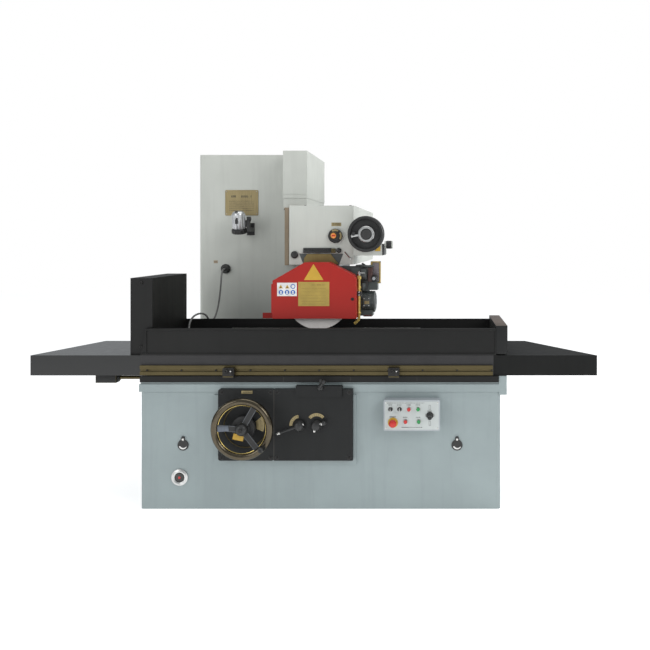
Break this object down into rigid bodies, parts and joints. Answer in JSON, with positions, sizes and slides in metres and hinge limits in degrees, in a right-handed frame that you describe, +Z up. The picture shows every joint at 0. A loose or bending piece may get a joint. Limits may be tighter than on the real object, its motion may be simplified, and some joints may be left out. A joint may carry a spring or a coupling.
{
  "type": "surface grinder",
  "caption": "Horizontal-spindle surface grinder: long bed with a sliding table and trough, side column with rising saddle, cross-sliding wheelhead, handwheels and a control panel.",
  "frame": {"origin": "on the floor, under the centre of the table at rest", "axes": "+X along the table's travel to the operator's right, +Y towards the column at the back, +Z up"},
  "size_m": [2.703, 1.5105, 1.775],
  "materials": {
    "bed_paint": "satin enamel",
    "column_paint": "satin enamel",
    "dark_paint": "satin enamel",
    "head_paint": "painted casting",
    "red_paint": "gloss enamel",
    "cast_iron": "ground",
    "ground_steel": "ground",
    "brass": "satin",
    "abrasive": "rough vitrified grit",
    "black_plastic": "moulded",
    "red_plastic": "moulded",
    "green_plastic": "moulded",
    "chrome": "polished",
    "aluminium": "cast and turned",
    "cable": "matte",
    "yellow_pipe": "painted",
    "panel": "satin",
    "dog_steel": "blackened steel"
  },
  "bodies": {
    "bed": {"bed_casting": "bed_paint", "column_base": "bed_paint", "bed_ways": "ground_steel", "drip_rail": "dark_paint", "left_gearbox_cover": "dark_paint", "right_control_cover": "dark_paint", "sight_glass": "aluminium", "control_box": "panel", "column_casting": "column_paint", "nameplate": "brass", "lead_socket": "black_plastic", "lamp_bracket": "black_plastic", "hydraulic_cylinder": "ground_steel", "lead_from_column": "cable"},
    "upper_cover": {"way_cover_upper": "column_paint"},
    "table": {"table_casting": "cast_iron", "dog_rails": "brass", "magnetic_chuck": "ground_steel", "trough_walls": "dark_paint", "right_end_wall": "dark_paint", "left_splash_guard": "dark_paint", "left_wing": "dark_paint", "right_wing": "dark_paint", "piston_rod": "ground_steel", "lead_to_chuck": "cable"},
    "saddle": {"saddle_casting": "column_paint", "way_cover_lower": "column_paint", "keeper_strip": "cast_iron", "crossfeed_gearbox": "column_paint"},
    "head": {"wheelhead_casting": "head_paint", "wheelhead_motor": "head_paint", "guard_shell": "red_paint", "coolant_pipe": "yellow_pipe", "aux_motor": "head_paint", "switch_blocks": "dark_paint"},
    "spindle": {"spindle": "ground_steel", "grinding_wheel": "abrasive"},
    "lifting_cover_left": {"lifting_cover_left": "black_plastic"},
    "lifting_cover_right": {"lifting_cover_right": "black_plastic"},
    "lamp_head": {"lamp_head": "aluminium"},
    "left_dog": {"left_dog": "dog_steel"},
    "right_dog": {"right_dog": "dog_steel"},
    "crossfeed_handwheel": {"crossfeed_handwheel": "dark_paint"},
    "saddle_knob": {"saddle_knob": "black_plastic"},
    "guard_door": {"guard_door": "red_paint"},
    "valve_handle": {"valve_handle": "chrome"},
    "elevation_handwheel": {"elevation_handwheel": "chrome"},
    "handwheel_grip": {"handwheel_grip": "black_plastic"},
    "elevation_screw": {"elevation_screw": "ground_steel"},
    "mode_lever": {"mode_lever": "black_plastic"},
    "speed_lever": {"speed_lever": "black_plastic"},
    "reversing_lever": {"reversing_lever": "black_plastic"},
    "e_stop": {"e_stop": "red_plastic"},
    "stop_button_upper": {"stop_button_upper": "red_plastic"},
    "start_button_upper": {"start_button_upper": "green_plastic"},
    "stop_button_lower": {"stop_button_lower": "red_plastic"},
    "start_button_lower": {"start_button_lower": "green_plastic"},
    "selector_switch": {"selector_switch": "black_plastic"},
    "key_switch": {"key_switch": "black_plastic"},
    "joystick": {"joystick": "black_plastic"}
  },
  "joints": [
    {"name": "table_slide", "type": "slide", "parent": "bed", "child": "table", "axis": [1, 0, 0], "range_m": [-0.48, 0.48]},
    {"name": "left_dog_slide", "type": "slide", "parent": "table", "child": "left_dog", "axis": [1, 0, 0], "range_m": [-0.38, 0.3]},
    {"name": "right_dog_slide", "type": "slide", "parent": "table", "child": "right_dog", "axis": [1, 0, 0], "range_m": [-0.3, 0.42]},
    {"name": "elevation_wheel_turn", "type": "hinge", "parent": "bed", "child": "elevation_handwheel", "pos_m": [-0.311, -0.372, 0.407], "axis": [0, 1, 0], "range_deg": [-1440, 16560]},
    {"name": "grip_spin", "type": "hinge", "parent": "elevation_handwheel", "child": "handwheel_grip", "pos_m": [-0.2101, -0.4, 0.3282], "axis": [0, 1, 0], "continuous": true},
    {"name": "elevation_screw_turn", "type": "hinge", "parent": "bed", "child": "elevation_screw", "pos_m": [-0.1945, 0.76, 1.2], "axis": [0, 0, 1], "range_deg": [-1440, 16560]},
    {"name": "saddle_slide", "type": "slide", "parent": "bed", "child": "saddle", "axis": [0, 0, 1], "range_m": [-0.02, 0.23]},
    {"name": "upper_cover_slide", "type": "slide", "parent": "bed", "child": "upper_cover", "axis": [0, 0, 1], "range_m": [-0.016, 0.184]},
    {"name": "crossfeed_wheel_turn", "type": "hinge", "parent": "saddle", "child": "crossfeed_handwheel", "pos_m": [0.236, -0.09, 1.312], "axis": [0, 1, 0], "range_deg": [-5760, 19440]},
    {"name": "head_slide", "type": "slide", "parent": "saddle", "child": "head", "axis": [0, 1, 0], "range_m": [-0.08, 0.27]},
    {"name": "wheel_spin", "type": "hinge", "parent": "head", "child": "spindle", "pos_m": [0, -0.096, 0.999], "axis": [0, 1, 0], "continuous": true},
    {"name": "guard_door_hinge", "type": "hinge", "parent": "head", "child": "guard_door", "pos_m": [-0.224, -0.142, 1], "axis": [0, 0, -1], "range_deg": [0, 110]},
    {"name": "valve_turn", "type": "hinge", "parent": "head", "child": "valve_handle", "pos_m": [0.199, -0.082, 1.105], "axis": [0, 0, 1], "range_deg": [0, 90]},
    {"name": "saddle_knob_turn", "type": "hinge", "parent": "saddle", "child": "saddle_knob", "pos_m": [0.072, -0.0105, 1.303], "axis": [0, 1, 0], "range_deg": [-135, 135]},
    {"name": "lamp_tilt", "type": "hinge", "parent": "bed", "child": "lamp_head", "pos_m": [-0.53, 0.4, 1.4], "axis": [1, 0, 0], "range_deg": [-40, 60]},
    {"name": "left_cover_swing", "type": "hinge", "parent": "bed", "child": "lifting_cover_left", "pos_m": [-0.62, -0.2605, 0.338], "axis": [0, 1, 0], "range_deg": [-120, 120]},
    {"name": "right_cover_swing", "type": "hinge", "parent": "bed", "child": "lifting_cover_right", "pos_m": [0.686, -0.2605, 0.338], "axis": [0, 1, 0], "range_deg": [-120, 120]},
    {"name": "mode_lever_turn", "type": "hinge", "parent": "bed", "child": "mode_lever", "pos_m": [-0.058, -0.293, 0.407], "axis": [0, -1, 0], "range_deg": [-30, 30]},
    {"name": "speed_lever_turn", "type": "hinge", "parent": "bed", "child": "speed_lever", "pos_m": [0.022, -0.293, 0.407], "axis": [0, -1, 0], "range_deg": [-45, 45]},
    {"name": "reversing_lever_tilt", "type": "hinge", "parent": "bed", "child": "reversing_lever", "pos_m": [0.043, -0.302, 0.589], "axis": [0, 1, 0], "range_deg": [-15, 15]},
    {"name": "e_stop_push", "type": "slide", "parent": "bed", "child": "e_stop", "axis": [0, 1, 0], "range_m": [0, 0.0035]},
    {"name": "selector_turn", "type": "hinge", "parent": "bed", "child": "selector_switch", "pos_m": [0.415, -0.32, 0.489], "axis": [0, 1, 0], "range_deg": [-45, 45]},
    {"name": "key_turn", "type": "hinge", "parent": "bed", "child": "key_switch", "pos_m": [0.373, -0.32, 0.489], "axis": [0, 1, 0], "range_deg": [0, 90]},
    {"name": "joystick_tilt", "type": "hinge", "parent": "bed", "child": "joystick", "pos_m": [0.557, -0.3311, 0.46], "axis": [0, 0, 1], "range_deg": [-18, 18], "stiffness_Nm_per_rad": 0.8},
    {"name": "stop_button_upper_push", "type": "slide", "parent": "bed", "child": "stop_button_upper", "axis": [0, 1, 0], "range_m": [0, 0.004], "stiffness_N_per_m": 400},
    {"name": "start_button_upper_push", "type": "slide", "parent": "bed", "child": "start_button_upper", "axis": [0, 1, 0], "range_m": [0, 0.004], "stiffness_N_per_m": 400},
    {"name": "stop_button_lower_push", "type": "slide", "parent": "bed", "child": "stop_button_lower", "axis": [0, 1, 0], "range_m": [0, 0.004], "stiffness_N_per_m": 400},
    {"name": "start_button_lower_push", "type": "slide", "parent": "bed", "child": "start_button_lower", "axis": [0, 1, 0], "range_m": [0, 0.004], "stiffness_N_per_m": 400}
  ],
  "couplings": [
    {"joint": "elevation_screw_turn", "follows": "elevation_wheel_turn", "ratio": 1},
    {"joint": "saddle_slide", "follows": "elevation_wheel_turn", "m_per_rad": 0.00079577},
    {"joint": "upper_cover_slide", "follows": "elevation_wheel_turn", "m_per_rad": 0.00063661},
    {"joint": "head_slide", "follows": "crossfeed_wheel_turn", "m_per_rad": 0.00079577}
  ]
}
